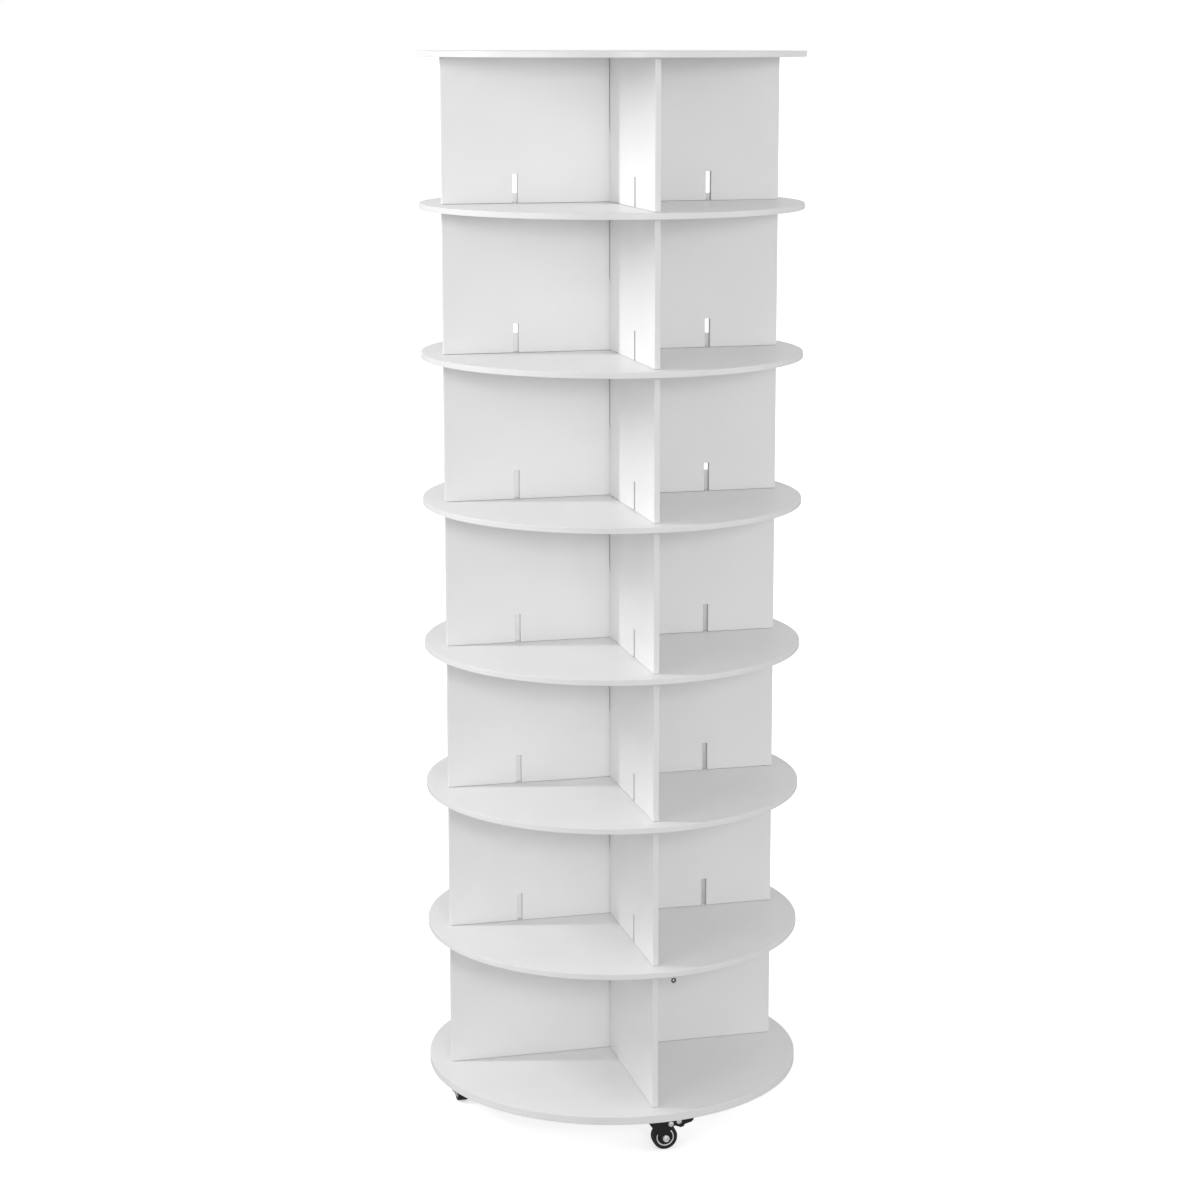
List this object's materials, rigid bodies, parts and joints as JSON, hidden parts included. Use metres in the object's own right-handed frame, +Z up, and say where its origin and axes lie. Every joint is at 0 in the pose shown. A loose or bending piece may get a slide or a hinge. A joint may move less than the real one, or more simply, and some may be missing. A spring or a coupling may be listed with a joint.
{
  "type": "rotating shoe tower",
  "caption": "Tall round shoe tower: white discs held apart by crossed divider boards, which make quarter-circle compartments, on small swivel casters, some with foot brakes.",
  "frame": {"origin": "on the floor, on the tower's vertical axis", "axes": "+Z up; X and Y along the divider boards, with the pictured braked caster at -Y"},
  "size_m": [0.6, 0.6, 1.6933],
  "materials": {
    "white_board": "board with a smooth white satin film on its faces and edges",
    "black_steel": "pressed sheet steel, black, semi-gloss",
    "zinc_steel": "bright zinc plate on turned and cold-headed steel",
    "silver_plastic": "moulded wheel with a silver ring and a black hub",
    "black_rubber": "moulded rubber, matt, with a slightly polished tread"
  },
  "bodies": {
    "tower": {"base_disc": "white_board", "top_disc": "white_board", "shelf_disc_1": "white_board", "shelf_disc_2": "white_board", "shelf_disc_3": "white_board", "shelf_disc_4": "white_board", "shelf_disc_5": "white_board", "shelf_disc_6": "white_board", "tier_1_lower_board": "white_board", "tier_1_upper_board": "white_board", "tier_2_lower_board": "white_board", "tier_2_upper_board": "white_board", "tier_3_lower_board": "white_board", "tier_3_upper_board": "white_board", "tier_4_lower_board": "white_board", "tier_4_upper_board": "white_board", "tier_5_lower_board": "white_board", "tier_5_upper_board": "white_board", "tier_6_lower_board": "white_board", "tier_6_upper_board": "white_board", "tier_7_lower_board": "white_board", "tier_7_upper_board": "white_board", "tie_bolt_right": "zinc_steel", "barrel_nut_right": "zinc_steel", "tie_bolt_left": "zinc_steel", "barrel_nut_left": "zinc_steel", "caster_front_plate": "black_steel", "caster_front_race": "black_steel", "caster_front_kingpin": "zinc_steel", "caster_right_plate": "black_steel", "caster_right_race": "black_steel", "caster_right_kingpin": "zinc_steel", "caster_back_plate": "black_steel", "caster_back_race": "black_steel", "caster_back_kingpin": "zinc_steel", "caster_left_plate": "black_steel", "caster_left_race": "black_steel", "caster_left_kingpin": "zinc_steel"},
    "front_swivel": {"caster_front_fork": "black_steel", "caster_front_axle": "zinc_steel", "caster_front_brake_pin": "zinc_steel"},
    "front_roller": {"caster_front_wheel": "silver_plastic", "caster_front_tyre": "black_rubber"},
    "front_brake": {"caster_front_brake_pedal": "black_steel"},
    "right_swivel": {"caster_right_fork": "black_steel", "caster_right_axle": "zinc_steel"},
    "right_roller": {"caster_right_wheel": "silver_plastic", "caster_right_tyre": "black_rubber"},
    "back_swivel": {"caster_back_fork": "black_steel", "caster_back_axle": "zinc_steel", "caster_back_brake_pin": "zinc_steel"},
    "back_roller": {"caster_back_wheel": "silver_plastic", "caster_back_tyre": "black_rubber"},
    "back_brake": {"caster_back_brake_pedal": "black_steel"},
    "left_swivel": {"caster_left_fork": "black_steel", "caster_left_axle": "zinc_steel"},
    "left_roller": {"caster_left_wheel": "silver_plastic", "caster_left_tyre": "black_rubber"}
  },
  "joints": [
    {"name": "front_swivel_turn", "type": "hinge", "parent": "tower", "child": "front_swivel", "pos_m": [0, -0.25, 0.0573], "axis": [0, 0, 1], "continuous": true},
    {"name": "front_wheel_roll", "type": "hinge", "parent": "front_swivel", "child": "front_roller", "pos_m": [0.02, -0.25, 0.02], "axis": [0, 1, 0], "continuous": true},
    {"name": "front_brake_press", "type": "hinge", "parent": "front_swivel", "child": "front_brake", "pos_m": [0.028, -0.25, 0.043], "axis": [0, 1, 0], "range_deg": [0, 22]},
    {"name": "right_swivel_turn", "type": "hinge", "parent": "tower", "child": "right_swivel", "pos_m": [0.25, 0, 0.0573], "axis": [0, 0, 1], "continuous": true},
    {"name": "right_wheel_roll", "type": "hinge", "parent": "right_swivel", "child": "right_roller", "pos_m": [0.25, -0.02, 0.02], "axis": [1, 0, 0], "continuous": true},
    {"name": "back_swivel_turn", "type": "hinge", "parent": "tower", "child": "back_swivel", "pos_m": [0, 0.25, 0.0573], "axis": [0, 0, 1], "continuous": true},
    {"name": "back_wheel_roll", "type": "hinge", "parent": "back_swivel", "child": "back_roller", "pos_m": [-0.02, 0.25, 0.02], "axis": [0, -1, 0], "continuous": true},
    {"name": "back_brake_press", "type": "hinge", "parent": "back_swivel", "child": "back_brake", "pos_m": [-0.028, 0.25, 0.043], "axis": [0, -1, 0], "range_deg": [0, 22]},
    {"name": "left_swivel_turn", "type": "hinge", "parent": "tower", "child": "left_swivel", "pos_m": [-0.25, 0, 0.0573], "axis": [0, 0, 1], "continuous": true},
    {"name": "left_wheel_roll", "type": "hinge", "parent": "left_swivel", "child": "left_roller", "pos_m": [-0.25, 0.02, 0.02], "axis": [-1, 0, 0], "continuous": true}
  ]
}
